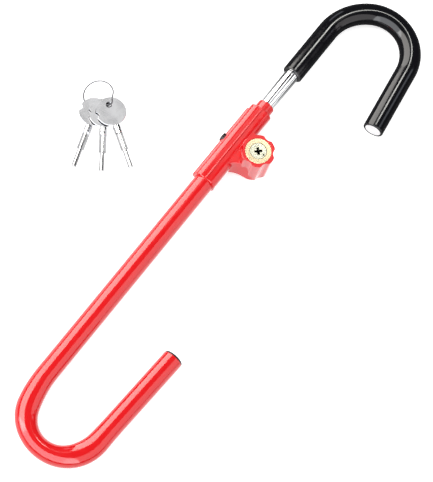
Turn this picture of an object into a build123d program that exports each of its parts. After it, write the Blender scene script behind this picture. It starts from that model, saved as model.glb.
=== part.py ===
from build123d import *
import math
import os

# Wheel-to-pedal lock lying on its back. Millimetres, +Z up.
# X runs along the slide rod, towards the wheel hook. Both hooks and the lock boss are on the -Y side.
# The origin is on the housing's flat underside, below the rod axis, in line with the locking bolt.

# ---- driving dimensions -------------------------------------------------------------------------
rod_radius = 8.0
tube_wall = 2.0
tube_radius = rod_radius + 3.0          # pedal hook tube, outside
sleeve_radius = rod_radius + 3.3        # soft sleeve over the wheel hook
barrel_radius = tube_radius + 1.6
axis_height = barrel_radius + 0.4       # rod axis above the underside
running_gap = 0.05          # radial clearance of a running fit
free_gap = 0.3              # clearance between pieces that only pass each other

tube_seat_end = -18.0       # where the tube bottoms in the housing
pedal_bend_start = -312.2
pedal_bend = ((132.7, 15.9), (38.5, 128.2), (46.0, 32.5))   # radius and degrees of each arc
pedal_leg = 112.9
tube_plug_depth = 14.0
tube_plug_head = 2.0

wheel_bend_start = 171.7
wheel_bend = ((57.8, 56.5), (43.1, 77.2), (47.0, 38.5))
wheel_leg = 77.3
sleeve_start = 105.0
end_cap_thickness = 1.5
end_cap_radius = rod_radius + 0.8

rod_tail = -214.0           # inner end of the rod at rest
tail_bush_length = 14.0
notch_pitch = 12.0
notches_towards_tail = 15
notches_towards_hook = 3
bolt_radius = 4.0
notch_clearance = 0.4

body_start = -53.3
body_end = 47.6
collar_end = 58.5
collar_radius = rod_radius + 1.4
base_half_width = 9.0
rail_width = 8.0            # rail along the +Y flank
rail_reach = barrel_radius + 2.0
rail_round = 3.0            # soft outer corners of the rail
rail_groove = 0.5           # fine groove between rail and barrel
bead_radius = 1.0           # raised line along the top of the barrel
shoulder_radius = 8.0       # round shoulders beside the barrel's flat top
guide_bush_length = 22.0
guide_bush_radius = rod_radius + 2.0

boss_top = 28.2             # height above the rod axis
plug_radius = 8.9
cylinder_radius = plug_radius + 5.1
boss_radius = cylinder_radius + 4.0
boss_y = 0.3 - barrel_radius - cylinder_radius      # lock cylinder axis
boss_lobes = 6
flute_depth = 2.4
flute_radius = 7.0
boss_foot = 1.2             # low step around the boss where it rises from the web
web_underside = -7.0        # height above the rod axis
web_draft = 4.2             # how far the web's flank leans in towards its top

plug_recess = 0.2
plug_lip = 3.0
plug_neck_radius = 6.0
tang_radius = 4.0
clip_thickness = 0.8
clip_radius = 7.8
cam_radius = 8.5
cam_throw = 3.0
cam_pin_radius = 2.0
keyway_half_span = 4.1
keyway_arm = 2.7
keyway_depth = 16.0
dish_radius = plug_radius - 3.0
dish_depth = 0.5
dot_radius = 1.0
dot_offset = plug_radius - 2.3
pin_radius = 1.2
pin_pitch = 4.0
pin_rows = 3
driver_length = 2.6
spring_wire = 0.35
spring_turns = 4

bolt_tail_half_width = 6.2
bolt_tail_front = boss_y + 5.5
bolt_tail_length = 13.8
bolt_tail_top = bolt_radius + 0.1   # heights above the rod axis
bolt_tail_bottom = -10.0
bolt_reach = 4.2            # how far the thrown bolt stands inside the rod's surface
cam_pocket_radius = 9.2
cam_thickness = 2.4
cover_radius = 13.0
cover_thickness = 2.6
screw_offset = 9.6
screw_radius = 1.5
screw_length = 8.0
screw_head_radius = 2.7
screw_head_height = 1.6

cross_plug_radius = 4.9
cross_plug_stand = 1.5
cross_plug_inner = guide_bush_radius + 0.3

tube_pin_radius = 2.0
tube_pin_places = (-45.0, -28.0)
tail_pin_radius = 1.5
retaining_pin_radius = 1.3
retaining_pin_inner = -9.0

key_holes = {"key_left": (-53.6, 139.4), "key_middle": (-50.5, 132.5), "key_right": (-47.6, 128.9)}
key_directions = {"key_left": 198.5, "key_middle": 215.5, "key_right": 236.0}
key_bow_radius = 16.0
key_bow_thickness = 1.5
key_hole_radius = 3.3
key_hole_offset = 7.6
key_notch_radius = 3.6      # finger notch in the bow's rim
key_level_step = 3.7
key_lowest_level = 4.4
key_collar_radius = 4.3
key_collar_length = 9.0
key_waist_radius = 3.4
key_shaft_length = 39.0
key_shaft_radius = 3.9
key_blade_width = 2.3
key_tip_radius = 2.6
key_tip_length = 20.0
ring_centre = (-44.0, 145.2)
ring_radius = 15.2
ring_wire = 0.7
ring_stride = 2.3           # plan distance in which the wire climbs half a level

# ---- sizes worked out from them -----------------------------------------------------------------
tube_bore = tube_radius - tube_wall
cylinder_bottom = bolt_tail_top + 4.6    # leaves room for the clip and the cam
web_top = cylinder_bottom + 3.3
retaining_pin_height = cylinder_bottom + 1.4
bolt_travel = 2 * cam_throw * math.sin(math.radians(45))
bolt_tip = -rod_radius - notch_clearance
slot_y = boss_y - bolt_travel / 2
underside = -axis_height    # every height below is above the rod axis until place() lifts it


def place(shape):
    """Lift a shape drawn about the rod axis so that the housing's underside is at z = 0."""
    return Pos(0, 0, axis_height) * shape


def x_cylinder(start, end, radius, y=0.0, z=0.0):
    """Cylinder along X between two stations."""
    return Pos((start + end) / 2, y, z) * Rot(0, 90, 0) * Cylinder(radius, end - start)


def y_cylinder(start, end, radius, x=0.0, z=0.0):
    """Cylinder along Y between two stations."""
    return Pos(x, (start + end) / 2, z) * Rot(90, 0, 0) * Cylinder(radius, end - start)


def z_cylinder(bottom, top, radius, x=0.0, y=boss_y):
    """Cylinder along Z between two heights, on the lock cylinder's axis unless told otherwise."""
    return Pos(x, y, (bottom + top) / 2) * Cylinder(radius, top - bottom)


def block(x_range, y_range, z_range):
    """Box between two corners given as ranges."""
    low = Vector(x_range[0], y_range[0], z_range[0])
    high = Vector(x_range[1], y_range[1], z_range[1])
    size = high - low
    return Pos(*((low + high) * 0.5)) * Box(size.X, size.Y, size.Z)


# ---- the two hooks ------------------------------------------------------------------------------
def hook_path(first_x, bend_x, bend, leg):
    """Straight run along X, a bend of several arcs towards -Y, then the free leg."""
    turn = -1 if bend_x > first_x else 1
    pieces = [Line((first_x, 0), (bend_x, 0))]
    for radius, angle in bend:
        last = pieces[-1]
        pieces.append(JernArc(last @ 1, last % 1, radius, turn * angle))
    last = pieces[-1]
    pieces.append(Line(last @ 1, last @ 1 + (last % 1) * leg))
    return Wire([piece.edge() for piece in pieces])


def start_plane(path):
    return Plane(origin=path @ 0, z_dir=path % 0)


def end_plane(path):
    return Plane(origin=path @ 1, z_dir=path % 1)


def swept(path, radius, bore=0.0):
    """Round bar or tube along a path."""
    section = Circle(radius)
    if bore:
        section -= Circle(bore)
    return sweep(start_plane(path) * section, path=path)


pedal_path = hook_path(tube_seat_end, pedal_bend_start, pedal_bend, pedal_leg)
rod_path = hook_path(rod_tail, wheel_bend_start, wheel_bend, wheel_leg)
sleeve_path = hook_path(sleeve_start, wheel_bend_start, wheel_bend, wheel_leg + end_cap_thickness)


def tube_pin_holes():
    return [z_cylinder(underside, -tube_bore + 1, tube_pin_radius, x, 0) for x in tube_pin_places]


def pedal_hook_tube():
    tube = swept(pedal_path, tube_radius, tube_bore)
    for hole in tube_pin_holes():
        tube -= hole
    return tube


def tube_end_plug():
    """Push-in plug with a domed head on the pedal hook's open end."""
    mouth = end_plane(pedal_path)
    stem = Pos(0, 0, -tube_plug_depth / 2) * Cylinder(tube_bore, tube_plug_depth)
    head = Pos(0, 0, tube_plug_head / 2) * Cylinder(tube_radius - 0.3, tube_plug_head)
    head = fillet(head.edges().sort_by(Axis.Z)[-1], tube_plug_head * 0.8)
    return mouth * (stem + head)


def tube_pins():
    length = barrel_radius - tube_bore
    top = -tube_bore - 0.1
    return [z_cylinder(top - length, top, tube_pin_radius, x, 0) for x in tube_pin_places]


# ---- slide rod and wheel hook -------------------------------------------------------------------
def notch_stations():
    return [notch_pitch * i for i in range(-notches_towards_tail, notches_towards_hook + 1)]


def tail_pin_hole():
    station = rod_tail + tail_bush_length / 2
    return y_cylinder(-tube_bore, tube_bore, tail_pin_radius, station)


def slide_rod():
    """Bar with a row of locking notches on its -Y side, bent into the wheel hook."""
    rod = swept(rod_path, rod_radius)
    floor = bolt_tip + bolt_reach + notch_clearance
    for station in notch_stations():
        rod -= y_cylinder(-rod_radius - 1, floor, bolt_radius + notch_clearance, station)
    return rod - tail_pin_hole()


def rod_tail_bush():
    end = rod_tail + tail_bush_length
    bush = x_cylinder(rod_tail, end, tube_bore - running_gap)
    return bush - x_cylinder(rod_tail, end, rod_radius) - tail_pin_hole()


def rod_tail_pin():
    station = rod_tail + tail_bush_length / 2
    reach = tube_bore - 0.3
    return y_cylinder(-reach, reach, tail_pin_radius, station)


def wheel_hook_sleeve():
    """Soft sleeve over the wheel hook, with rounded ends and a seat for the end cap."""
    sleeve = swept(sleeve_path, sleeve_radius, rod_radius)
    seat = end_plane(rod_path) * Pos(0, 0, end_cap_thickness) * Cylinder(end_cap_radius, 2 * end_cap_thickness)
    sleeve -= seat
    tip = sleeve.edges().filter_by(GeomType.CIRCLE).filter_by(lambda e: abs(e.radius - sleeve_radius) < 0.01)
    far_end = sorted(tip, key=lambda e: (e.center() - sleeve_path @ 1).length)[0]
    near_end = sorted(tip, key=lambda e: (e.center() - sleeve_path @ 0).length)[0]
    return fillet([far_end, near_end], 1.1)


def rod_end_cap():
    return end_plane(rod_path) * Pos(0, 0, end_cap_thickness / 2) * Cylinder(end_cap_radius, end_cap_thickness)


def rod_guide_bush():
    start = body_end - 1.6 - guide_bush_length
    bush = x_cylinder(start, start + guide_bush_length, guide_bush_radius)
    return bush - x_cylinder(start, start + guide_bush_length, rod_radius + running_gap)


# ---- housing ------------------------------------------------------------------------------------
def barrel():
    """Barrel with round shoulders, a collar, a flat base, a rail on its +Y flank and a raised line on top."""
    tube = x_cylinder(body_start, body_end, barrel_radius)
    top = block((body_start, body_end), (-barrel_radius, barrel_radius), (0, barrel_radius))
    top = fillet(top.edges().filter_by(Axis.X).group_by(Axis.Z)[-1], shoulder_radius)
    ends = top.edges().filter_by(Plane.YZ).filter_by(lambda e: (e @ 0.5).Z > 0.1)
    tube += chamfer(ends, 0.8)
    collar = x_cylinder(body_end - 1, collar_end, collar_radius)
    collar = fillet(collar.edges().filter_by(GeomType.CIRCLE).sort_by(Axis.X)[-1], 0.9)
    base = block((body_start, body_end), (-base_half_width, base_half_width), (underside, -5))
    base = chamfer(base.edges().filter_by(Axis.X).group_by(Axis.Z)[0], 2.5)
    side = make_face(Polyline((body_start, 7), (body_start, rail_reach), (body_end - 6, rail_reach),
                              (body_end - 3, rail_reach - 3), (body_end - 3, 7), (body_start, 7)))
    rail = extrude(side, rail_width / 2, both=True)
    rail = fillet(rail.edges().filter_by(Axis.X).group_by(Axis.Y)[-1], rail_round)
    groove = x_cylinder(body_start - 1, body_end - 3, rail_groove, barrel_radius, rail_width / 2)
    bead = x_cylinder(body_start + 0.8, body_end - 0.8, bead_radius, 0, barrel_radius + 0.1)
    return tube + collar + base + rail + bead - groove


def boss_outline(extra=0.0):
    """Six soft lobes around the lock cylinder."""
    outline = Circle(boss_radius + extra)
    pitch_radius = boss_radius + flute_radius - flute_depth
    outline -= PolarLocations(pitch_radius, boss_lobes) * Circle(flute_radius - extra)
    return fillet(outline.vertices(), 3)


def boss():
    """Lobed boss with a soft top rim, a low foot on the web and a rounded rear edge."""
    height = boss_top + axis_height
    column = extrude(boss_outline(), height)
    corner = 1.0
    rear = 3.2
    profile = Plane.XZ * make_face(Polyline((0, 0), (boss_radius, 0), (boss_radius, height), (0, height), (0, 0)))
    profile = fillet(profile.vertices().sort_by(Axis.X)[-2:].sort_by(Axis.Z)[0], rear)
    profile = fillet(profile.vertices().sort_by(Axis.Z)[-2:].sort_by(Axis.X)[-1], corner)
    envelope = revolve(profile, Axis.Z)
    foot = extrude(boss_outline(boss_foot), 1.6)
    foot = chamfer(foot.edges().group_by(Axis.Z)[-1], 0.5)
    foot = Pos(0, boss_y, web_top - 0.7) * foot
    foot &= Pos(0, 0, web_top - 1) * extrude(web_outline(web_draft), 3)
    return Pos(0, boss_y, underside) * (column & envelope) + foot


def web_outline(inset):
    """Plan of the web: a hollow curve from the barrel to the boss on the tube side."""
    side = -boss_radius + inset
    flank = Spline((side - 20, -3.5), (side - 12, -7.5), (side - 4.5, boss_y + 10.3),
                   (side - 1.6, boss_y + 1.3), (side - 0.4, boss_y - 5.7), (side + 4.5, boss_y - 11.2))
    rest = Polyline(flank @ 1, (0, boss_y), (16.5, boss_y + 3), (25 - inset, -8), (25 - inset, 4),
                    (side - 20, 4), flank @ 0)
    return make_face([flank.edge()] + list(rest.edges()))


def web():
    """Flat-topped bridge between barrel and boss; its flank leans in and has a soft top edge."""
    bridge = loft([Pos(0, 0, web_underside) * web_outline(0), Pos(0, 0, web_top) * web_outline(web_draft)],
                  ruled=True)
    top = bridge.edges().group_by(Axis.Z)[-1]
    flank = [edge for edge in top if edge.length > 30 and (edge @ 0.5).X < -10]
    return fillet(flank, 1.5)


def housing_cuts():
    """Everything bored, milled or drilled into the casting."""
    cuts = [x_cylinder(body_start - 1, tube_seat_end, tube_radius)]
    cuts.append(x_cylinder(tube_seat_end, body_end - 1.6, guide_bush_radius))
    cuts.append(x_cylinder(body_end - 1.6, collar_end + 1, rod_radius + free_gap))
    cuts.append(z_cylinder(cylinder_bottom, boss_top + 1, cylinder_radius))
    cuts.append(z_cylinder(bolt_tail_top + free_gap, cylinder_bottom, cam_pocket_radius))
    half = bolt_tail_half_width + free_gap
    front = bolt_tail_front + bolt_travel + 0.5
    back = bolt_tail_front - bolt_tail_length - 1.5
    floor = underside + cover_thickness
    cuts.append(block((-half, half), (back, front), (floor, bolt_tail_top + free_gap)))
    cuts.append(y_cylinder(front - 1, 0, bolt_radius + running_gap))
    cuts.append(y_cylinder(0, rail_reach + 2, cross_plug_radius))
    cuts.append(z_cylinder(underside, floor, cover_radius))
    cuts.extend(cover_screw_shanks(running_gap))
    cuts.extend(tube_pin_holes())
    cuts.append(x_cylinder(retaining_pin_inner, 30, retaining_pin_radius, pin_y(), retaining_pin_height))
    return cuts


def pin_y():
    """Tangent pin that keys the brass body to the boss."""
    return boss_y + cylinder_radius - 0.3


def lock_housing():
    casting = barrel() + web() + boss()
    for cut in housing_cuts():
        casting -= cut
    return casting


def cross_bore_plug():
    plug = y_cylinder(cross_plug_inner, rail_reach + cross_plug_stand, cross_plug_radius)
    return chamfer(plug.edges().filter_by(GeomType.CIRCLE).sort_by(Axis.Y)[-1], 0.5)


def cover_screw_places():
    return [-screw_offset, screw_offset]


def cover_screw_shanks(extra=0.0):
    return [z_cylinder(underside, underside + screw_length, screw_radius + extra, x)
            for x in cover_screw_places()]


def rear_cover():
    """Disc that closes the bolt pocket from below."""
    cover = z_cylinder(underside, underside + cover_thickness, cover_radius)
    for x in cover_screw_places():
        cover -= z_cylinder(underside, underside + screw_head_height, screw_head_radius, x)
        cover -= z_cylinder(underside, underside + cover_thickness, screw_radius, x)
    return cover


def rear_cover_screws():
    screws = []
    for x in cover_screw_places():
        head = z_cylinder(underside + 0.1, underside + screw_head_height, screw_head_radius - 0.1, x)
        drive = Pos(x, boss_y, underside + 0.6) * extrude(RegularPolygon(1.1, 6), 1, both=True)
        shank = z_cylinder(underside + screw_head_height, underside + screw_length - 0.3, screw_radius, x)
        screws.append(head + shank - drive)
    return screws


# ---- locking bolt -------------------------------------------------------------------------------
def locking_bolt():
    """Round nose that enters the rod's notches, with a slotted tail driven by the cam pin."""
    nose = y_cylinder(bolt_tail_front - 1, bolt_tip, bolt_radius)
    nose = chamfer(nose.edges().filter_by(GeomType.CIRCLE).sort_by(Axis.Y)[-1], 0.6)
    half = bolt_tail_half_width
    tail = block((-half, half), (bolt_tail_front - bolt_tail_length, bolt_tail_front),
                 (bolt_tail_bottom, bolt_tail_top))
    reach = cam_pin_radius + free_gap
    slot = block((-0.5, cam_throw), (slot_y - reach, slot_y + reach), (-20, 20))
    ends = [z_cylinder(-20, 20, reach, x, slot_y) for x in (0, cam_throw)]
    return nose + tail - slot - ends[0] - ends[1]


# ---- lock cylinder ------------------------------------------------------------------------------
def pin_places():
    """Height and direction of every pin stack: rows down the plug, four directions each."""
    rows = [boss_top - 4.2 - pin_pitch * i for i in range(pin_rows)]
    return [(height, 45 + 90 * quarter) for height in rows for quarter in range(4)]


def radial_cylinder(inner, outer, radius, height, direction):
    """Short cylinder standing out from the plug axis."""
    bar = Pos((inner + outer) / 2, 0, 0) * Rot(0, 90, 0) * Cylinder(radius, outer - inner)
    return Pos(0, boss_y, height) * Rot(0, 0, direction) * bar


def pin_holes(inner, outer):
    return [radial_cylinder(inner, outer, pin_radius + running_gap, height, direction)
            for height, direction in pin_places()]


def cylinder_body():
    body = z_cylinder(cylinder_bottom, boss_top, cylinder_radius)
    body = chamfer(body.edges().filter_by(GeomType.CIRCLE).sort_by(Axis.Z)[-1], 0.4)
    body -= z_cylinder(cylinder_bottom + plug_lip, boss_top, plug_radius + running_gap)
    body -= z_cylinder(cylinder_bottom, boss_top, plug_neck_radius + running_gap)
    body -= x_cylinder(retaining_pin_inner, 30, retaining_pin_radius, pin_y(), retaining_pin_height)
    for hole in pin_holes(plug_radius - 0.5, cylinder_radius + 1):
        body -= hole
    return body


def cylinder_retaining_pin():
    return x_cylinder(retaining_pin_inner + 0.2, 18.0, retaining_pin_radius, pin_y(), retaining_pin_height)


def keyway():
    """Cross-shaped keyway, arms at 45 degrees to the row axes."""
    top = boss_top - plug_recess
    centre = Pos(0, boss_y, top - keyway_depth / 2 + 0.5)
    arm = Box(2 * keyway_half_span, keyway_arm, keyway_depth + 1)
    return centre * Rot(0, 0, 45) * arm + centre * Rot(0, 0, 135) * arm


def lock_plug():
    top = boss_top - plug_recess
    shoulder = cylinder_bottom + plug_lip + 0.1
    neck_end = cylinder_bottom - 1.3
    plug = z_cylinder(shoulder, top, plug_radius)
    plug = chamfer(plug.edges().filter_by(GeomType.CIRCLE).sort_by(Axis.Z)[-1], 0.3)
    plug += z_cylinder(neck_end, shoulder, plug_neck_radius)
    plug += z_cylinder(neck_end - cam_thickness, neck_end, tang_radius)
    groove = z_cylinder(cylinder_bottom - 0.2 - clip_thickness, cylinder_bottom - 0.2, plug_radius)
    groove -= z_cylinder(0, boss_top, plug_neck_radius - 0.8)
    plug -= groove
    plug -= z_cylinder(top - dish_depth, top + 1, dish_radius)
    plug -= keyway()
    plug -= z_cylinder(top - 2, top + 1, dot_radius, 0, boss_y - dot_offset)
    for hole in pin_holes(keyway_half_span - 0.6, plug_radius + 1):
        plug -= hole
    return plug


def plug_clip():
    top = cylinder_bottom - 0.2
    ring = z_cylinder(top - clip_thickness, top, clip_radius)
    ring -= z_cylinder(top - clip_thickness, top, plug_neck_radius - 0.8)
    return ring - block((-clip_radius - 1, 0), (boss_y - 2, boss_y + 2), (0, boss_top))


def plug_cam():
    """Disc on the plug's tang, with an eccentric pin that works in the bolt's slot."""
    top = cylinder_bottom - 1.3
    disc = z_cylinder(top - cam_thickness, top, cam_radius)
    disc -= z_cylinder(top - cam_thickness, top, tang_radius)
    offset = cam_throw * math.cos(math.radians(45))
    pin = z_cylinder(bolt_tail_bottom + 2, top - cam_thickness, cam_pin_radius, offset, boss_y - offset)
    return disc + pin


def key_pins():
    return [radial_cylinder(keyway_half_span + 0.2, plug_radius - 0.02, pin_radius, height, direction)
            for height, direction in pin_places()]


def driver_pins():
    return [radial_cylinder(plug_radius + running_gap, plug_radius + driver_length, pin_radius, height, direction)
            for height, direction in pin_places()]


def pin_springs():
    """Small coil springs behind the driver pins."""
    inner = plug_radius + driver_length + spring_wire
    length = cylinder_radius - inner - spring_wire - 0.05
    coil = Helix(length / spring_turns, length, pin_radius - spring_wire - 0.05)
    wire = sweep(Plane(origin=coil @ 0, z_dir=coil % 0) * Circle(spring_wire * 0.6), path=coil)
    springs = []
    for height, direction in pin_places():
        springs.append(Pos(0, boss_y, height) * Rot(0, 0, direction) * Pos(inner, 0, 0) * Rot(0, 90, 0) * wire)
    return springs


# ---- keys and their ring ------------------------------------------------------------------------
def key(place_xy, level, direction):
    """Cross key: round bow with a hole and a notch, stepped neck, four-bladed shaft with a thinner tip."""
    bow_centre = key_hole_offset
    neck = bow_centre + key_bow_radius
    bow = Pos(bow_centre, 0, 0) * Cylinder(key_bow_radius, key_bow_thickness)
    bow = chamfer(bow.edges().filter_by(GeomType.CIRCLE), 0.3)
    tab = block((neck - 3, neck + 1.5), (-key_waist_radius, key_waist_radius),
                (-key_bow_thickness / 2, key_bow_thickness / 2))
    start = neck + 0.8
    collar_end_x = start + key_collar_length
    collar = x_cylinder(start, collar_end_x, key_collar_radius)
    groove = x_cylinder(start + 5.2, start + 6.4, key_collar_radius + 1)
    groove -= x_cylinder(start + 5.2, start + 6.4, key_waist_radius)
    collar = chamfer(collar.edges().filter_by(GeomType.CIRCLE), 0.5) - groove
    shaft_end = collar_end_x + key_shaft_length - key_tip_length
    shaft = x_cylinder(collar_end_x, shaft_end, key_shaft_radius)
    shaft += x_cylinder(shaft_end, shaft_end + key_tip_length, key_tip_radius)
    blade = block((start, shaft_end + key_tip_length), (-6, 6), (-key_blade_width / 2, key_blade_width / 2))
    cross = blade + Rot(90, 0, 0) * blade
    core = x_cylinder(start, shaft_end + key_tip_length, key_tip_radius * 0.62)
    shaft = shaft & (cross + core)
    hole = Cylinder(key_hole_radius, 10)
    notch = Pos(bow_centre, -key_bow_radius - 0.8, 0) * Cylinder(key_notch_radius, 10)
    shape = bow + tab + collar + shaft - hole - notch
    return Pos(*place_xy, level) * Rot(0, 0, direction) * shape


def key_levels():
    return {name: key_lowest_level + key_level_step * i for i, name in enumerate(key_directions)}


def ring_turn(place_xy):
    """Direction in plan of the round wire where it passes a point."""
    spoke = Vector(*place_xy) - Vector(*ring_centre)
    return Vector(-spoke.Y, spoke.X, 0).normalized()


def ring_climb():
    """Points of the part of the wire that climbs through the keys' holes, lowest key first."""
    places = list(key_holes.values())
    points = []
    for i, level in enumerate(key_levels().values()):
        hole = Vector(*places[i], level)
        chord = Vector(*places[min(i + 1, 2)]) - Vector(*places[max(i - 1, 0)])
        way = chord.normalized() if i < 2 else (chord.normalized() + ring_turn(places[i])).normalized()
        stride = way * ring_stride + Vector(0, 0, key_level_step / 2)
        if not points or (hole - stride - points[-1]).length > 1.5:
            points.append(hole - stride)
        points.append(hole)
        points.append(hole + stride)
    return points


def ring_return(top, bottom):
    """Points of the open side of the loop, down from the top key to below the lowest one."""
    leave, arrive = 285.0, 530.0
    points = [top]
    for step in range(10):
        angle = leave + (arrive - leave) * step / 9
        drop = min(max((angle - 305) / (500 - 305), 0), 1)
        height = bottom.Z + (top.Z - bottom.Z) * (1 + math.cos(math.pi * drop)) / 2
        x = ring_centre[0] + ring_radius * math.cos(math.radians(angle))
        y = ring_centre[1] + ring_radius * math.sin(math.radians(angle))
        points.append(Vector(x, y, height))
    return points + [bottom]


def key_ring():
    """Wire loop that climbs through the three holes and comes down round its open side."""
    climb = ring_climb()
    low, high = climb[0], climb[-1]
    turns = (ring_turn((low.X, low.Y)), ring_turn((high.X, high.Y)))
    rising = Spline(climb, tangents=turns)
    falling = Spline(ring_return(high, low), tangents=(turns[1], turns[0]))
    wires = [sweep(start_plane(path) * Circle(ring_wire), path=path) for path in (rising, falling)]
    return wires[0] + wires[1]


# ---- write every node ---------------------------------------------------------------------------
def build():
    lock = {
        "pedal_hook_tube": pedal_hook_tube(),
        "tube_end_plug": tube_end_plug(),
        "tube_pins": tube_pins(),
        "lock_housing": lock_housing(),
        "rod_guide_bush": rod_guide_bush(),
        "cross_bore_plug": cross_bore_plug(),
        "rear_cover": rear_cover(),
        "rear_cover_screws": rear_cover_screws(),
        "slide_rod": slide_rod(),
        "rod_tail_bush": rod_tail_bush(),
        "rod_tail_pin": rod_tail_pin(),
        "wheel_hook_sleeve": wheel_hook_sleeve(),
        "rod_end_cap": rod_end_cap(),
        "locking_bolt": locking_bolt(),
        "cylinder_body": cylinder_body(),
        "cylinder_retaining_pin": cylinder_retaining_pin(),
        "lock_plug": lock_plug(),
        "plug_clip": plug_clip(),
        "plug_cam": plug_cam(),
        "key_pins": key_pins(),
        "driver_pins": driver_pins(),
        "pin_springs": pin_springs(),
    }
    nodes = {}
    for name, shape in lock.items():
        if isinstance(shape, list):
            nodes[name] = Compound(children=[place(solid) for one in shape for solid in one.solids()])
        else:
            nodes[name] = place(shape)
    for name, level in key_levels().items():
        nodes[name] = key(key_holes[name], level, key_directions[name])
    nodes["key_ring"] = key_ring()
    return nodes


os.makedirs("parts", exist_ok=True)
for node, shape in build().items():
    export_step(shape, f"parts/{node}.step")
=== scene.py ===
import math
import bpy
import numpy as np
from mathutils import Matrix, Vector


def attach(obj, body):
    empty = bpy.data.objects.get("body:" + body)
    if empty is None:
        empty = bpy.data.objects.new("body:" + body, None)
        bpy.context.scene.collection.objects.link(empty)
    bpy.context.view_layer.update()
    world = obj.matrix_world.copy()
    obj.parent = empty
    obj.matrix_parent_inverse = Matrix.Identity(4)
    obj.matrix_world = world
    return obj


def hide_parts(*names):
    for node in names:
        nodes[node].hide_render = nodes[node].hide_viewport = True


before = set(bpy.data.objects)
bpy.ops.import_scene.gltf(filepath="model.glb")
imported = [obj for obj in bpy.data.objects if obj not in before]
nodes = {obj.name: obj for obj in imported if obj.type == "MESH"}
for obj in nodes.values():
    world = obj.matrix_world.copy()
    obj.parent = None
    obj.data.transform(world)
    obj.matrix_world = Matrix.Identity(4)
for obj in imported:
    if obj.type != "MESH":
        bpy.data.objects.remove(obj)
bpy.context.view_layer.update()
scene = bpy.context.scene
mm = 0.001
axisHeight = 13 * mm  # rod axis above the floor


def addNode(tree, kind, place, **values):
    node = tree.nodes.new(kind)
    node.location = place
    for key, value in values.items():
        setattr(node, key, value)
    return node


def newGroup(name, inputs, outputs):
    # inputs are (name, kind, default), outputs are (name, kind)
    group = bpy.data.node_groups.new(name, "ShaderNodeTree")
    for label, kind, value in inputs:
        socket = group.interface.new_socket(name=label, in_out="INPUT", socket_type=kind)
        socket.default_value = value
    for label, kind in outputs:
        group.interface.new_socket(name=label, in_out="OUTPUT", socket_type=kind)
    start = addNode(group, "NodeGroupInput", (-900, 0))
    end = addNode(group, "NodeGroupOutput", (600, 0))
    return group, start, end


def newMaterial(name, **constants):
    material = bpy.data.materials.new(name)
    material.use_nodes = True
    shader = material.node_tree.nodes["Principled BSDF"]
    for socket, value in constants.items():
        shader.inputs[socket.replace("_", " ")].default_value = value
    return material, material.node_tree, shader


def placeGroup(tree, group, place, **values):
    node = addNode(tree, "ShaderNodeGroup", place)
    node.node_tree = group
    for key, value in values.items():
        node.inputs[key.replace("_", " ")].default_value = value
    return node


def rgb(r, g, b):
    return (r, g, b, 1.0)


def buildGlossSkin():
    # sprayed or dipped gloss: a slow drift between two colours, a fine orange peel, dust-dulled spots
    group, start, end = newGroup("glossSkin", [
        ("Light Colour", "NodeSocketColor", rgb(0.5, 0.01, 0.01)),
        ("Deep Colour", "NodeSocketColor", rgb(0.4, 0.01, 0.01)),
        ("Drift Scale", "NodeSocketFloat", 18.0),
        ("Peel Scale", "NodeSocketFloat", 420.0),
        ("Low Roughness", "NodeSocketFloat", 0.08),
        ("High Roughness", "NodeSocketFloat", 0.16),
    ], [("Colour", "NodeSocketColor"), ("Roughness", "NodeSocketFloat"), ("Height", "NodeSocketFloat")])
    coords = addNode(group, "ShaderNodeTexCoord", (-900, 300))
    drift = addNode(group, "ShaderNodeTexNoise", (-650, 300))
    drift.inputs["Detail"].default_value = 3
    peel = addNode(group, "ShaderNodeTexNoise", (-650, -100))
    peel.inputs["Detail"].default_value = 1
    dust = addNode(group, "ShaderNodeTexNoise", (-650, -400))
    dust.inputs["Scale"].default_value = 90
    dust.inputs["Detail"].default_value = 6
    mix = addNode(group, "ShaderNodeMix", (-200, 300), data_type="RGBA")
    rough = addNode(group, "ShaderNodeMapRange", (-200, -300))
    rough.inputs["From Min"].default_value = 0.35
    rough.inputs["From Max"].default_value = 0.7
    link = group.links.new
    for texture in (drift, peel, dust):
        link(coords.outputs["Object"], texture.inputs["Vector"])
    link(start.outputs["Drift Scale"], drift.inputs["Scale"])
    link(start.outputs["Peel Scale"], peel.inputs["Scale"])
    link(drift.outputs["Fac"], mix.inputs["Factor"])
    link(start.outputs["Light Colour"], mix.inputs["A"])
    link(start.outputs["Deep Colour"], mix.inputs["B"])
    link(dust.outputs["Fac"], rough.inputs["Value"])
    link(start.outputs["Low Roughness"], rough.inputs["To Min"])
    link(start.outputs["High Roughness"], rough.inputs["To Max"])
    link(mix.outputs["Result"], end.inputs["Colour"])
    link(rough.outputs["Result"], end.inputs["Roughness"])
    link(peel.outputs["Fac"], end.inputs["Height"])
    return group


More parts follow.
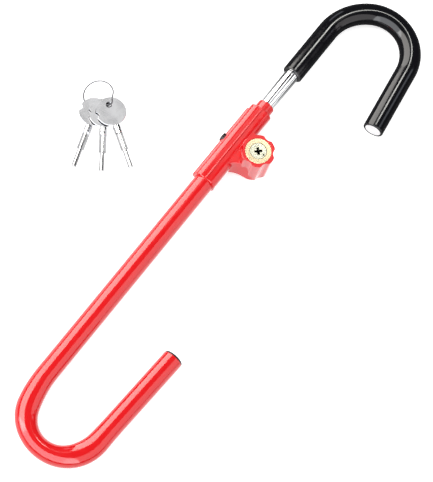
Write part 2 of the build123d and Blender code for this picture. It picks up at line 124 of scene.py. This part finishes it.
def buildTurnedMarks():
    # rings left by a lathe tool round a centre in the XY plane, broken up so that no ring is whole; also
    # painted shade in a recess and in a gap between parts
    group, start, end = newGroup("turnedMarks", [
        ("Centre", "NodeSocketVector", (0, 0, 0)),
        ("Rings Per Metre", "NodeSocketFloat", 2200.0),
        ("Light Colour", "NodeSocketColor", rgb(0.8, 0.7, 0.5)),
        ("Deep Colour", "NodeSocketColor", rgb(0.6, 0.5, 0.3)),
        ("Grime Colour", "NodeSocketColor", rgb(0.03, 0.025, 0.02)),
        ("Grime Below", "NodeSocketFloat", 0.0),
        ("Seam Radius", "NodeSocketFloat", 0.1),
        ("Seam Width", "NodeSocketFloat", 0.0003),
    ], [("Colour", "NodeSocketColor"), ("Roughness", "NodeSocketFloat"), ("Height", "NodeSocketFloat")])
    coords = addNode(group, "ShaderNodeTexCoord", (-900, 300))
    shift = addNode(group, "ShaderNodeVectorMath", (-720, 300), operation="SUBTRACT")
    flat = addNode(group, "ShaderNodeVectorMath", (-560, 300), operation="MULTIPLY")
    flat.inputs[1].default_value = (1, 1, 0)
    radius = addNode(group, "ShaderNodeVectorMath", (-400, 300), operation="LENGTH")
    rings = addNode(group, "ShaderNodeMath", (-240, 300), operation="MULTIPLY")
    bands = addNode(group, "ShaderNodeTexNoise", (-80, 300), noise_dimensions="1D")
    bands.inputs["Scale"].default_value = 1
    bands.inputs["Detail"].default_value = 2
    cloud = addNode(group, "ShaderNodeTexNoise", (-400, 0))
    cloud.inputs["Scale"].default_value = 260
    cloud.inputs["Detail"].default_value = 5
    blendMarks = addNode(group, "ShaderNodeMix", (100, 100), data_type="FLOAT")
    blendMarks.inputs["Factor"].default_value = 0.45
    mix = addNode(group, "ShaderNodeMix", (300, 300), data_type="RGBA")
    rough = addNode(group, "ShaderNodeMapRange", (300, -100))
    rough.inputs["To Min"].default_value = 0.12
    rough.inputs["To Max"].default_value = 0.24
    # painted shade: darkens what lies below a height, for a recess, and a ring at one radius, for the gap
    # between two parts
    split = addNode(group, "ShaderNodeSeparateXYZ", (-400, -250))
    depth = addNode(group, "ShaderNodeMath", (-240, -250), operation="SUBTRACT")
    deep = addNode(group, "ShaderNodeMapRange", (-80, -250), interpolation_type="SMOOTHSTEP")
    deep.inputs["From Max"].default_value = 0.0006
    offset = addNode(group, "ShaderNodeMath", (-240, -450), operation="SUBTRACT")
    distance = addNode(group, "ShaderNodeMath", (-80, -450), operation="ABSOLUTE")
    part = addNode(group, "ShaderNodeMath", (80, -450), operation="DIVIDE")
    seam = addNode(group, "ShaderNodeMapRange", (240, -450), interpolation_type="SMOOTHSTEP")
    seam.inputs["From Min"].default_value = 1.0
    seam.inputs["From Max"].default_value = 0.3
    shadeMask = addNode(group, "ShaderNodeMath", (400, -300), operation="MAXIMUM")
    paintedShadeMix = addNode(group, "ShaderNodeMix", (450, 300), data_type="RGBA")
    link = group.links.new
    link(coords.outputs["Object"], split.inputs[0])
    link(start.outputs["Grime Below"], depth.inputs[0])
    link(split.outputs["Z"], depth.inputs[1])
    link(depth.outputs["Value"], deep.inputs["Value"])
    link(radius.outputs["Value"], offset.inputs[0])
    link(start.outputs["Seam Radius"], offset.inputs[1])
    link(offset.outputs["Value"], distance.inputs[0])
    link(distance.outputs["Value"], part.inputs[0])
    link(start.outputs["Seam Width"], part.inputs[1])
    link(part.outputs["Value"], seam.inputs["Value"])
    link(deep.outputs["Result"], shadeMask.inputs[0])
    link(seam.outputs["Result"], shadeMask.inputs[1])
    link(shadeMask.outputs["Value"], paintedShadeMix.inputs["Factor"])
    link(start.outputs["Grime Colour"], paintedShadeMix.inputs["B"])
    link(coords.outputs["Object"], shift.inputs[0])
    link(start.outputs["Centre"], shift.inputs[1])
    link(shift.outputs["Vector"], flat.inputs[0])
    link(flat.outputs["Vector"], radius.inputs[0])
    link(radius.outputs["Value"], rings.inputs[0])
    link(start.outputs["Rings Per Metre"], rings.inputs[1])
    link(rings.outputs["Value"], bands.inputs["W"])
    link(coords.outputs["Object"], cloud.inputs["Vector"])
    link(bands.outputs["Fac"], blendMarks.inputs["A"])
    link(cloud.outputs["Fac"], blendMarks.inputs["B"])
    link(blendMarks.outputs["Result"], mix.inputs["Factor"])
    link(start.outputs["Light Colour"], mix.inputs["A"])
    link(start.outputs["Deep Colour"], mix.inputs["B"])
    link(blendMarks.outputs["Result"], rough.inputs["Value"])
    link(mix.outputs["Result"], paintedShadeMix.inputs["A"])
    link(paintedShadeMix.outputs["Result"], end.inputs["Colour"])
    link(rough.outputs["Result"], end.inputs["Roughness"])
    link(blendMarks.outputs["Result"], end.inputs["Height"])
    return group


def buildHandledMetal():
    # plated or rolled metal: fine stretched scuffs along one direction over a cloudy tone
    group, start, end = newGroup("handledMetal", [
        ("Light Colour", "NodeSocketColor", rgb(0.8, 0.8, 0.8)),
        ("Deep Colour", "NodeSocketColor", rgb(0.6, 0.6, 0.6)),
        ("Stretch", "NodeSocketVector", (40, 900, 900)),
        ("Low Roughness", "NodeSocketFloat", 0.05),
        ("High Roughness", "NodeSocketFloat", 0.15),
    ], [("Colour", "NodeSocketColor"), ("Roughness", "NodeSocketFloat"), ("Height", "NodeSocketFloat")])
    coords = addNode(group, "ShaderNodeTexCoord", (-900, 300))
    stretch = addNode(group, "ShaderNodeVectorMath", (-700, 300), operation="MULTIPLY")
    scuffs = addNode(group, "ShaderNodeTexNoise", (-500, 300))
    scuffs.inputs["Scale"].default_value = 1
    scuffs.inputs["Detail"].default_value = 4
    cloud = addNode(group, "ShaderNodeTexNoise", (-500, 0))
    cloud.inputs["Scale"].default_value = 70
    cloud.inputs["Detail"].default_value = 4
    mix = addNode(group, "ShaderNodeMix", (-100, 200), data_type="RGBA")
    rough = addNode(group, "ShaderNodeMapRange", (-100, -100))
    rough.inputs["From Min"].default_value = 0.35
    rough.inputs["From Max"].default_value = 0.68
    link = group.links.new
    link(coords.outputs["Object"], stretch.inputs[0])
    link(start.outputs["Stretch"], stretch.inputs[1])
    link(stretch.outputs["Vector"], scuffs.inputs["Vector"])
    link(coords.outputs["Object"], cloud.inputs["Vector"])
    link(cloud.outputs["Fac"], mix.inputs["Factor"])
    link(start.outputs["Light Colour"], mix.inputs["A"])
    link(start.outputs["Deep Colour"], mix.inputs["B"])
    link(scuffs.outputs["Fac"], rough.inputs["Value"])
    link(start.outputs["Low Roughness"], rough.inputs["To Min"])
    link(start.outputs["High Roughness"], rough.inputs["To Max"])
    link(mix.outputs["Result"], end.inputs["Colour"])
    link(rough.outputs["Result"], end.inputs["Roughness"])
    link(scuffs.outputs["Fac"], end.inputs["Height"])
    return group


glossSkin = buildGlossSkin()
turnedMarks = buildTurnedMarks()
handledMetal = buildHandledMetal()
print("effects ready")


def connectEffect(tree, effect, shader, depth):
    # colour and roughness straight in, height through one bump
    bump = addNode(tree, "ShaderNodeBump", (-250, -300))
    bump.inputs["Distance"].default_value = depth
    bump.inputs["Strength"].default_value = 1.0
    tree.links.new(effect.outputs["Colour"], shader.inputs["Base Color"])
    tree.links.new(effect.outputs["Roughness"], shader.inputs["Roughness"])
    tree.links.new(effect.outputs["Height"], bump.inputs["Height"])
    tree.links.new(bump.outputs["Normal"], shader.inputs["Normal"])


paintLook = {
    "light": rgb(0.68, 0.009, 0.012), "deep": rgb(0.60, 0.007, 0.009),
    "peel": 0.00001,  # height of the orange peel, metres
    "rough": (0.09, 0.17),
}


def makeRedPaint(name, peelScale, depth):
    material, tree, shader = newMaterial(name, IOR=1.5, Coat_Weight=0.35, Coat_Roughness=0.04)
    low, high = paintLook["rough"]
    effect = placeGroup(tree, glossSkin, (-550, 200), Light_Colour=paintLook["light"],
                        Deep_Colour=paintLook["deep"], Peel_Scale=peelScale,
                        Low_Roughness=low, High_Roughness=high)
    connectEffect(tree, effect, shader, depth)
    return material


tubePaint = makeRedPaint("tubeEnamel", 380, paintLook["peel"])
castingPaint = makeRedPaint("castingEnamel", 520, 2 * paintLook["peel"])


vinylLook = {
    "light": rgb(0.006, 0.006, 0.008), "deep": rgb(0.003, 0.003, 0.004),
    "peelScale": 240, "peel": 0.00001, "rough": (0.07, 0.14),
}


def makeVinyl(look):
    material, tree, shader = newMaterial("dippedVinyl", IOR=1.47)
    low, high = look["rough"]
    effect = placeGroup(tree, glossSkin, (-550, 200), Light_Colour=look["light"], Deep_Colour=look["deep"],
                        Peel_Scale=look["peelScale"], Low_Roughness=low, High_Roughness=high)
    connectEffect(tree, effect, shader, look["peel"])
    return material


def makePlastic(name, light, deep, low, high):
    material, tree, shader = newMaterial(name, IOR=1.46)
    effect = placeGroup(tree, glossSkin, (-550, 200), Light_Colour=light, Deep_Colour=deep,
                        Peel_Scale=900, Low_Roughness=low, High_Roughness=high)
    connectEffect(tree, effect, shader, 0.00002)
    return material


def makeMetal(name, light, deep, stretch, low, high, depth=0.000002):
    material, tree, shader = newMaterial(name, Metallic=1.0)
    effect = placeGroup(tree, handledMetal, (-550, 200), Light_Colour=light, Deep_Colour=deep,
                        Stretch=stretch, Low_Roughness=low, High_Roughness=high)
    connectEffect(tree, effect, shader, depth)
    return material


cylinderCentre = (0, -26.3 * mm, 0)
seamRadius = 8.75 * mm  # where the painted shade in the gap at the plug's edge is darkest
seamWidth = 0.35 * mm


def makeTurned(name, light, deep, rings, paintedShadeBelow, depth=0.00001):
    material, tree, shader = newMaterial(name, Metallic=1.0)
    effect = placeGroup(tree, turnedMarks, (-550, 200), Centre=cylinderCentre, Rings_Per_Metre=rings,
                        Light_Colour=light, Deep_Colour=deep, Grime_Below=paintedShadeBelow,
                        Seam_Radius=seamRadius, Seam_Width=seamWidth)
    connectEffect(tree, effect, shader, depth)
    return material


vinyl = makeVinyl(vinylLook)
blackPlastic = makePlastic("blackPlastic", rgb(0.012, 0.012, 0.013), rgb(0.006, 0.006, 0.007), 0.25, 0.4)
whiteCap = makePlastic("paleCap", rgb(0.92, 0.92, 0.93), rgb(0.82, 0.83, 0.85), 0.25, 0.4)
chrome = makeMetal("platedRod", rgb(0.86, 0.87, 0.88), rgb(0.78, 0.79, 0.81),
                   (30, 1400, 1400), 0.03, 0.09)
# the brass body takes only the painted shade ring in the gap round the plug
brass = makeTurned("turnedBrass", rgb(0.93, 0.78, 0.52), rgb(0.84, 0.68, 0.43),
                   2600, 0.0)
plugNickel = makeTurned("turnedPlug", rgb(0.84, 0.83, 0.68), rgb(0.70, 0.70, 0.55),
                        3400, 40.3 * mm)  # painted shade in the keyway: dark below this height
keyNickel = makeMetal("keyNickel", rgb(0.60, 0.60, 0.61), rgb(0.50, 0.50, 0.51),
                      (90, 90, 60), 0.10, 0.16, 0.000001)
ringWire = makeMetal("ringWire", rgb(0.10, 0.10, 0.11), rgb(0.06, 0.06, 0.065),
                     (300, 300, 300), 0.25, 0.4)
plainSteel = makeMetal("plainSteel", rgb(0.55, 0.55, 0.56), rgb(0.40, 0.40, 0.42),
                       (200, 200, 900), 0.2, 0.4)
bronze = makeMetal("bushBronze", rgb(0.55, 0.33, 0.15), rgb(0.42, 0.24, 0.10),
                   (60, 900, 900), 0.25, 0.45)
darkSteel = makeMetal("darkSteel", rgb(0.16, 0.16, 0.17), rgb(0.09, 0.09, 0.10),
                      (300, 300, 300), 0.25, 0.45)

finishes = {
    "lock_housing": castingPaint, "rear_cover": castingPaint,
    "cross_bore_plug": blackPlastic, "tube_end_plug": blackPlastic,
    "rod_end_cap": whiteCap, "slide_rod": chrome,
    "rod_tail_bush": bronze, "rod_guide_bush": bronze,
    "rod_tail_pin": darkSteel, "tube_pins": darkSteel,
    "rear_cover_screws": darkSteel, "cylinder_retaining_pin": darkSteel,
    "locking_bolt": plainSteel, "plug_clip": darkSteel, "plug_cam": plainSteel,
    "cylinder_body": brass, "lock_plug": plugNickel,
    "key_pins": brass, "driver_pins": brass, "pin_springs": plainSteel,
    "key_ring": ringWire,
    "key_left": keyNickel, "key_middle": keyNickel, "key_right": keyNickel,
}
for name, material in finishes.items():
    for slot in nodes[name].material_slots:
        slot.material = material
print("finishes on", len(finishes), "nodes")


def bendLine(settings, step):
    # heading is a running sum of arc angles along the length, eased a little where arcs meet;
    # the line is the running sum of its direction
    arcs = [(math.radians(a) * r * mm, math.radians(a)) for r, a in settings["bend"]]
    lengths = np.array([abs(settings["bendStart"] - settings["start"]) * mm] + [a for a, b in arcs]
                       + [settings["leg"] * mm])
    turns = np.array([0.0] + [b for a, b in arcs] + [0.0])
    knots = np.concatenate([[0], np.cumsum(lengths)])
    angles = np.concatenate([[0], np.cumsum(turns)])
    along = np.linspace(0, knots[-1], int(knots[-1] / step) + 1)
    heading = np.interp(along, knots, angles)
    middle = (heading[1:] + heading[:-1]) / 2
    gap = np.diff(along)
    way = 1 if settings["bendStart"] > settings["start"] else -1
    x = settings["start"] * mm + way * np.concatenate([[0], np.cumsum(gap * np.cos(middle))])
    y = -np.concatenate([[0], np.cumsum(gap * np.sin(middle))])
    side = np.stack([way * np.sin(heading), np.cos(heading)], axis=1)  # left of the line, in plan
    return along, np.stack([x, y], axis=1), side, knots


lineStep = 0.5 * mm  # spacing of the points that a bend is summed from


def bump1d(s, centre, width):
    # a bell: e to the minus square of (distance from the centre over the width)
    return np.exp(-((s - centre) / width) ** 2)


def carrySection(along, line, side, s, radiusIn, radiusUp, around):
    # a section ring at each profile station s: half width radiusIn in plan, half height radiusUp
    px = np.interp(s, along, line[:, 0])
    py = np.interp(s, along, line[:, 1])
    nx = np.interp(s, along, side[:, 0])
    ny = np.interp(s, along, side[:, 1])
    turn = np.linspace(0, 2 * np.pi, around, endpoint=False)
    out = radiusIn[:, None] * np.cos(turn)[None]
    up = radiusUp[:, None] * np.sin(turn)[None]
    x = px[:, None] + nx[:, None] * out
    y = py[:, None] + ny[:, None] * out
    return np.stack([x, y, axisHeight + up], axis=2)


def gridFaces(rows, columns, loop):
    # quads over a grid that closes round its columns, and round its rows if loop
    count = rows if loop else rows - 1
    r = np.arange(count)[:, None]
    c = np.arange(columns)[None]
    r2 = (r + 1) % rows
    c2 = (c + 1) % columns
    quads = np.stack([r * columns + c, r * columns + c2, r2 * columns + c2, r2 * columns + c], axis=2)
    return quads.reshape(-1, 4)


def buildPiece(name, verts, faces, material):
    mesh = bpy.data.meshes.new(name)
    faces = np.asarray(faces, dtype=np.int32)
    verts = np.asarray(verts, dtype=np.float32).reshape(-1, 3)
    mesh.vertices.add(len(verts))
    mesh.vertices.foreach_set("co", verts.ravel())
    mesh.loops.add(faces.size)
    mesh.loops.foreach_set("vertex_index", faces.ravel())
    mesh.polygons.add(len(faces))
    mesh.polygons.foreach_set("loop_start", np.arange(0, faces.size, faces.shape[1], dtype=np.int32))
    mesh.update(calc_edges=True)
    mesh.polygons.foreach_set("use_smooth", np.ones(len(faces), dtype=bool))
    mesh.materials.append(material)
    piece = bpy.data.objects.new(name, mesh)
    scene.collection.objects.link(piece)
    return piece


hookTubeSettings = {
    "start": -20.0, "bendStart": -312.2, "leg": 112.9,
    "bend": ((132.7, 15.9), (38.5, 128.2), (46.0, 32.5)),
    "radius": 11.0, "lip": 0.7,
    "innerEnd": 9.0,    # inner radius of the end face inside the housing
    "boreShown": 12.0,  # how far the bore goes in behind the mouth
    "swell": 0.09, "pinch": 0.08, "flatten": 0.05,
    "swellIn": (2, 24), "swellOut": (8, 22),  # distance past where two arcs meet, width
    "pinchWidth": 26, "flattenWidth": 30,
    "around": 72, "step": 1.6,
}


def makeHookTube(settings):
    # outer wall from inside the housing to the mouth, a rounded lip, then the bore for a short way
    along, line, side, knots = bendLine(settings, lineStep)
    radius = settings["radius"] * mm
    lip = settings["lip"] * mm
    total = knots[-1]
    outer = np.arange(0, total - lip, settings["step"] * mm)
    corner = np.linspace(0, np.pi, 9)
    lipS = total - lip + lip * np.sin(corner)
    lipR = radius - lip + lip * np.cos(corner)
    inner = np.linspace(total - lip, total - settings["boreShown"] * mm, 6)[1:]
    s = np.concatenate([[0.0], outer, lipS, inner])
    r = np.concatenate([[settings["innerEnd"] * mm], np.full(len(outer), radius), lipR,
                        np.full(len(inner), radius - 2 * lip)])
    crown = (knots[2] + knots[3]) / 2
    inPlace, inWidth = settings["swellIn"]
    outPlace, outWidth = settings["swellOut"]
    swell = settings["swell"] * (bump1d(s, knots[2] + inPlace * mm, inWidth * mm)
                                 + 1.2 * bump1d(s, knots[3] + outPlace * mm, outWidth * mm))
    pinch = settings["pinch"] * bump1d(s, crown, settings["pinchWidth"] * mm)
    wide = r * (1 + swell - pinch)
    flatten = settings["flatten"] * bump1d(s, crown, settings["flattenWidth"] * mm)
    high = r * (1 - 0.5 * swell - flatten)
    verts = carrySection(along, line, side, s, wide, high, settings["around"])
    return buildPiece("pedalHookTube", verts, gridFaces(len(s), settings["around"], False), tubePaint)


hookTube = makeHookTube(hookTubeSettings)
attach(hookTube, "housing")
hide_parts("pedal_hook_tube")

sleeveSettings = {
    "start": 105.0, "bendStart": 171.7, "leg": 78.8,
    "bend": ((57.8, 56.5), (43.1, 77.2), (47.0, 38.5)),
    "radius": 11.3, "bore": 8.02, "lip": 1.0,
    "capSeat": 1.5, "seatRadius": 8.85,  # depth and radius of the seat round the end cap
    "boreEase": 0.3, "seatEase": 0.2,    # small chamfers at the two ends of the bore
    "swell": 0.06, "pinch": 0.03,
    "swellIn": (6, 30), "swellOutWidth": 24, "pinchWidth": 40,
    "ripple": 0.004, "rippleLength": 7.5, "rippleWidth": 45,
    "around": 72, "step": 1.5,
}


def makeSleeve(settings):
    # wall section carried along the hook: out along the bore, round the far lip, back along the outside
    along, line, side, knots = bendLine(settings, lineStep)
    radius = settings["radius"] * mm
    bore = settings["bore"] * mm
    lip = settings["lip"] * mm
    seat = settings["seatRadius"] * mm
    ease = settings["seatEase"] * mm
    depth = settings["capSeat"] * mm
    total = knots[-1]
    inside = np.arange(lip, total - depth, 3 * mm)
    outside = np.arange(total - lip, lip, -settings["step"] * mm)
    quarter = np.linspace(0, np.pi / 2, 6)
    farS = total - lip + lip * np.sin(quarter[::-1])
    farR = radius - lip + lip * np.cos(quarter[::-1])
    nearS = lip - lip * np.sin(quarter)
    nearR = radius - lip + lip * np.cos(quarter)
    s = np.concatenate([[0.0], inside, [total - depth, total - depth, total - ease, total],
                        farS, outside[1:], nearS])
    r = np.concatenate([[bore + settings["boreEase"] * mm], np.full(len(inside), bore),
                        [bore, seat, seat, seat + ease],
                        farR, np.full(len(outside) - 1, radius), nearR])
    crown = (knots[2] + knots[3]) / 2
    inPlace, inWidth = settings["swellIn"]
    fat = settings["swell"] * (bump1d(s, knots[2] + inPlace * mm, inWidth * mm)
                               + 0.8 * bump1d(s, knots[3], settings["swellOutWidth"] * mm))
    ripple = (settings["ripple"] * np.sin(s / (settings["rippleLength"] * mm))
              * bump1d(s, crown, settings["rippleWidth"] * mm))
    isWall = (r > radius - 0.1 * mm).astype(float)
    pinch = settings["pinch"] * bump1d(s, crown, settings["pinchWidth"] * mm)
    wide = r * (1 + isWall * (fat - pinch + ripple))
    high = r * (1 - isWall * 0.3 * fat)
    verts = carrySection(along, line, side, s, wide, high, settings["around"])
    return buildPiece("wheelHookSleeve", verts, gridFaces(len(s), settings["around"], True), vinyl)


sleeve = makeSleeve(sleeveSettings)
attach(sleeve, "rod")
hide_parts("wheel_hook_sleeve")
print("hooks built")

cameraSettings = {
    "place": (-0.7093, -0.2006, 1.7489),
    "turn": (18.385, -8.008, -53.332),  # degrees about X, Y, Z
    "lens": 149.65,
    "sensor": 36.0,
    "clip": (0.05, 50),
}


def makeCamera(settings):
    data = bpy.data.cameras.new("camera")
    data.lens = settings["lens"]
    data.sensor_width = settings["sensor"]
    data.sensor_fit = "HORIZONTAL"
    data.clip_start, data.clip_end = settings["clip"]
    camera = bpy.data.objects.new("camera", data)
    camera.location = settings["place"]
    camera.rotation_euler = [math.radians(a) for a in settings["turn"]]
    scene.collection.objects.link(camera)
    scene.camera = camera


floorSettings = {
    "side": 8.0,
    "tones": (rgb(0.94, 0.94, 0.94), rgb(0.91, 0.91, 0.91)),
    "glow": 0.62,             # lifts the paper towards white where it is looked at directly
    "mirrored": (1.5, 0.12),  # how bright the paper looks in reflections, housing side and sleeve side
    "mirroredEdge": (0.03, 0.13),  # where along X the one fades into the other
}


def makeFloor(settings):
    side = settings["side"]
    mesh = bpy.data.meshes.new("floor")
    corners = [(-side, -side, 0), (side, -side, 0), (side, side, 0), (-side, side, 0)]
    mesh.from_pydata(corners, [], [(0, 1, 2, 3)])
    floor = bpy.data.objects.new("floor", mesh)
    scene.collection.objects.link(floor)
    material, tree, shader = newMaterial("paleFloor", Roughness=0.9, Specular_IOR_Level=0.0)
    link = tree.links.new
    coords = addNode(tree, "ShaderNodeTexCoord", (-1100, 100))
    speckle = addNode(tree, "ShaderNodeTexNoise", (-800, 200))
    speckle.inputs["Scale"].default_value = 40
    tone = addNode(tree, "ShaderNodeMix", (-500, 200), data_type="RGBA")
    tone.inputs["A"].default_value, tone.inputs["B"].default_value = settings["tones"]
    path = addNode(tree, "ShaderNodeLightPath", (-800, 600))
    glow = addNode(tree, "ShaderNodeMath", (-500, 500), operation="MULTIPLY")
    glow.inputs[1].default_value = settings["glow"]
    split = addNode(tree, "ShaderNodeSeparateXYZ", (-800, -100))
    fade = addNode(tree, "ShaderNodeMapRange", (-500, -100), interpolation_type="SMOOTHSTEP")
    edge = settings["mirroredEdge"] + settings["mirrored"]
    for socket, value in zip(("From Min", "From Max", "To Min", "To Max"), edge):
        fade.inputs[socket].default_value = value
    paper = addNode(tree, "ShaderNodeEmission", (-200, -200))
    choose = addNode(tree, "ShaderNodeMixShader", (400, 0))
    link(coords.outputs["Object"], speckle.inputs["Vector"])
    link(coords.outputs["Object"], split.inputs["Vector"])
    link(speckle.outputs["Fac"], tone.inputs["Factor"])
    link(tone.outputs["Result"], shader.inputs["Base Color"])
    link(tone.outputs["Result"], shader.inputs["Emission Color"])
    link(path.outputs["Is Camera Ray"], glow.inputs[0])
    link(glow.outputs["Value"], shader.inputs["Emission Strength"])
    link(split.outputs["X"], fade.inputs["Value"])
    link(fade.outputs["Result"], paper.inputs["Strength"])
    link(path.outputs["Is Glossy Ray"], choose.inputs["Fac"])
    link(shader.outputs["BSDF"], choose.inputs[1])
    link(paper.outputs["Emission"], choose.inputs[2])
    link(choose.outputs["Shader"], tree.nodes["Material Output"].inputs["Surface"])
    mesh.materials.append(material)


def makeArea(name, place, size, power):
    data = bpy.data.lights.new(name, "AREA")
    data.shape = "RECTANGLE"
    data.size, data.size_y = size
    data.energy = power
    light = bpy.data.objects.new(name, data)
    light.location = place
    light.visible_camera = False
    scene.collection.objects.link(light)
    return light


keyLamp = {"place": (-0.6, 1.3, 1.9), "target": (-0.05, 0, 0), "size": (1.2, 1.2), "power": 30}


def makeKeyLamp(settings):
    # soft light on the object that no reflection shows
    light = makeArea("key", settings["place"], settings["size"], settings["power"])
    way = Vector(settings["target"]) - Vector(settings["place"])
    light.rotation_euler = way.to_track_quat("-Z", "Y").to_euler()
    light.visible_glossy = False


# panels that only reflections see: place, turn in degrees, size, radiance, tint
panels = {
    "railSide": ((-0.25, 1.0, 1.40), (-90, 15.1, 0), (2.2, 2.1), 6.0, (1.0, 0.97, 0.93)),
    "legSide": ((1.10, 1.0, 0.62), (-90, 15.1, 0), (0.40, 0.50), 1.6, (0.84, 0.89, 1.0)),
    "hookSide": ((-0.47, -1.0, 1.16), (90, 16.0, 0), (2.2, 1.8), 1.6, (1.0, 0.97, 0.97)),
    "rodHigh": ((0.755, -1.0, 1.16), (90, 16.0, 0), (0.11, 1.28), 2.0, (1, 1, 1)),
    "rodLow": ((0.53, -1.0, 0.16), (90, 0, 0), (0.12, 0.32), 1.2, (1, 1, 1)),
    "bendSide": ((0.98, -1.0, 0.95), (90, 15.0, 0), (0.22, 0.70), 1.6, (0.84, 0.89, 1.0)),
    "pedalEnd": ((-1.0, 0.0, 1.6), (0, -90, 0), (2.8, 2.4), 4.0, (0.93, 0.96, 1.0)),
    "rodStripNear": ((0.943, 0.24, 1.9), (0, 0, 0), (0.094, 0.58), 2.0, (1, 1, 1)),
    "rodStripFar": ((0.943, -0.36, 1.9), (0, 0, 0), (0.094, 0.44), 2.0, (1, 1, 1)),
    "sleeveStrip": ((1.085, 0.15, 1.9), (0, 0, 0), (0.18, 0.46), 18.0, (1.0, 1.0, 0.95)),
    "faceCard": ((0.77, 0.164, 1.9), (0, 0, 0), (0.13, 0.20), 1.05, (1.0, 0.99, 0.95)),
    "keyCard": ((0.655, 0.50, 1.9), (0, 0, 0), (0.24, 0.26), 1.25, (1, 1, 1)),
    "keyCardFar": ((0.60, 0.80, 1.9), (0, 0, 0), (0.5, 0.22), 0.35, (1, 1, 1)),
}


def makePanel(name, place, turn, size, radiance, tint):
    light = makeArea(name, place, size, radiance * math.pi * size[0] * size[1])
    light.data.color = tint
    light.rotation_euler = [math.radians(a) for a in turn]
    light.visible_diffuse = False


studio = {"ambient": 1.05, "mirrored": 0.035}


def makeStudio(settings):
    # even light from all round, which reflections hardly see
    world = bpy.data.worlds.new("studio")
    world.use_nodes = True
    scene.world = world
    tree = world.node_tree
    background = tree.nodes["Background"]
    path = addNode(tree, "ShaderNodeLightPath", (-500, 0))
    choose = addNode(tree, "ShaderNodeMix", (-250, 0), data_type="FLOAT")
    choose.inputs["A"].default_value = settings["ambient"]
    choose.inputs["B"].default_value = settings["mirrored"]
    tree.links.new(path.outputs["Is Glossy Ray"], choose.inputs["Factor"])
    tree.links.new(choose.outputs["Result"], background.inputs["Strength"])
    background.inputs["Color"].default_value = (1, 1, 1, 1)


makeCamera(cameraSettings)
makeFloor(floorSettings)
makeStudio(studio)
makeKeyLamp(keyLamp)
for name, values in panels.items():
    makePanel(name, *values)
scene.view_settings.view_transform = "Standard"
print("studio ready")
